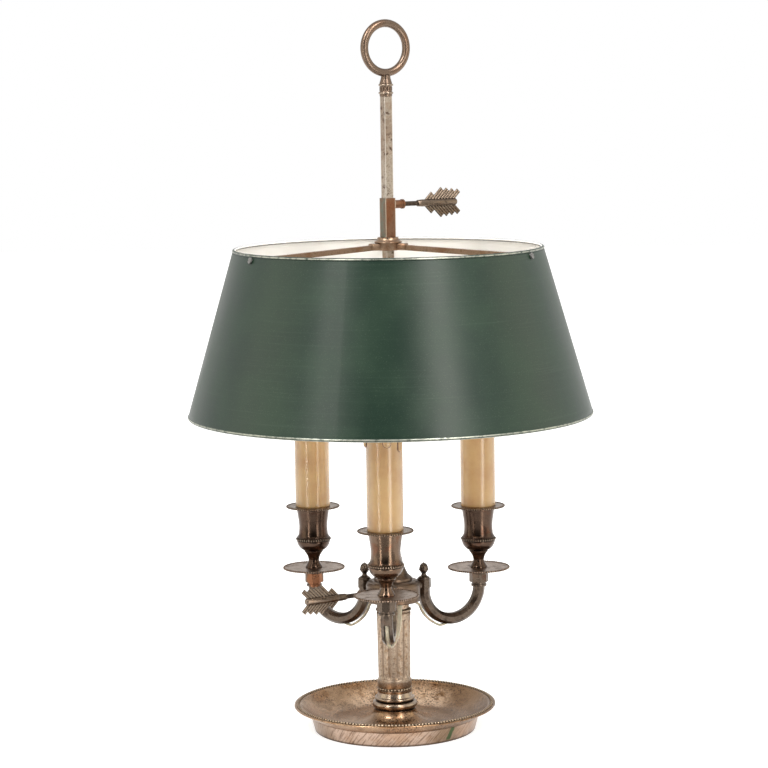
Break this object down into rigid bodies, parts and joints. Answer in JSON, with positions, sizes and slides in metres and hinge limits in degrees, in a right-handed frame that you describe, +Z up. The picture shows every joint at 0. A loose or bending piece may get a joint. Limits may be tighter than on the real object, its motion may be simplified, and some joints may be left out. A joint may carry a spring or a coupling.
{
  "type": "bouillotte lamp",
  "caption": "Bouillotte table lamp: dish foot, fluted column, candle arms and a round painted metal shade that slide on a square rod with a ring handle, locked by arrow-shaped screws.",
  "frame": {"origin": "centre of the foot's underside, on the surface the lamp stands on", "axes": "+Z up along the rod, the front candle arm along -Y, +X to the right seen from the front"},
  "size_m": [0.3416, 0.3416, 0.6003],
  "materials": {
    "silver_plate": "worn silver plate on brass, satin to polished, brown tarnish in the hollows",
    "copper_plate": "worn plate with the copper-coloured metal showing, satin",
    "dark_patina": "dark brown-grey patina with polished high spots",
    "rod_plate": "light silver-grey plate with small dark pits",
    "steel": "plain steel fixings",
    "green_paint": "dark green satin paint outside, off-white inside, worn light-grey edges",
    "wax_sleeve": "tan candle sleeve, satin wax look",
    "cable_white": "flat twin wire, cream-white, satin",
    "holder_white": "moulded lampholder, off-white, matte",
    "bulb_cap_brass": "thin brass bulb cap",
    "bulb_glass": "clear glass",
    "felt": "dark green felt",
    "rubber_black": "black outlet bush",
    "shoe_brass": "plain brass"
  },
  "bodies": {
    "base": {"dish": "copper_plate", "dish_bead_ring": "silver_plate", "foot_ring": "silver_plate", "base_felt": "felt", "base_nut": "steel", "base_washer": "steel", "cord_bush": "rubber_black", "column_foot": "silver_plate", "column_bead_ring": "silver_plate", "column_shaft": "silver_plate", "column_capital": "silver_plate", "center_rod": "rod_plate", "ring_socket": "copper_plate", "ring_handle": "copper_plate"},
    "arms": {"hub_drum": "dark_patina", "hub_bell": "dark_patina", "arm_screws": "steel", "arm_finials": "dark_patina", "arm_front": "dark_patina", "arm_right": "dark_patina", "arm_left": "dark_patina", "drip_pan_front": "silver_plate", "drip_pan_right": "silver_plate", "drip_pan_left": "silver_plate", "cup_front": "dark_patina", "cup_right": "dark_patina", "cup_left": "dark_patina", "flange_front": "silver_plate", "flange_right": "silver_plate", "flange_left": "silver_plate", "cup_nipples": "steel", "cup_nuts": "steel", "sleeve_front": "wax_sleeve", "sleeve_right": "wax_sleeve", "sleeve_left": "wax_sleeve", "holder_front": "holder_white", "holder_right": "holder_white", "holder_left": "holder_white", "bulb_cap_front": "bulb_cap_brass", "bulb_cap_right": "bulb_cap_brass", "bulb_cap_left": "bulb_cap_brass", "bulb_front": "bulb_glass", "bulb_right": "bulb_glass", "bulb_left": "bulb_glass", "wire_front": "cable_white", "wire_right": "cable_white", "wire_left": "cable_white"},
    "arms_shoe": {"arms_key_shoe": "shoe_brass"},
    "arms_key": {"arms_key_arrow": "dark_patina", "arms_key_shank": "steel"},
    "shade": {"shade_collar": "copper_plate", "spider_hub": "copper_plate", "spider_bars": "copper_plate", "shade_screws": "steel", "shade_cone": "green_paint", "shade_hem_wires": "steel"},
    "shade_shoe": {"shade_key_shoe": "shoe_brass"},
    "shade_key": {"shade_key_arrow": "dark_patina", "shade_key_shank": "steel"}
  },
  "joints": [
    {"name": "arms_slide", "type": "slide", "parent": "base", "child": "arms", "axis": [0, 0, 1], "range_m": [0, 0.03]},
    {"name": "arms_shoe_slide", "type": "slide", "parent": "arms", "child": "arms_shoe", "axis": [-0.809, -0.5878, 0], "range_m": [0, 0.0012]},
    {"name": "arms_key_turn", "type": "hinge", "parent": "arms_shoe", "child": "arms_key", "pos_m": [0, 0, 0.119], "axis": [-0.809, -0.5878, 0], "range_deg": [0, 720]},
    {"name": "shade_slide", "type": "slide", "parent": "base", "child": "shade", "axis": [0, 0, 1], "range_m": [-0.07, 0.084]},
    {"name": "shade_shoe_slide", "type": "slide", "parent": "shade", "child": "shade_shoe", "axis": [0.809, 0.5878, 0], "range_m": [0, 0.0012]},
    {"name": "shade_key_turn", "type": "hinge", "parent": "shade_shoe", "child": "shade_key", "pos_m": [0, 0, 0.4467], "axis": [0.809, 0.5878, 0], "range_deg": [0, 720]}
  ],
  "couplings": [
    {"joint": "arms_key_turn", "follows": "arms_shoe_slide", "rad_per_m": 10472},
    {"joint": "shade_key_turn", "follows": "shade_shoe_slide", "rad_per_m": 10472}
  ]
}
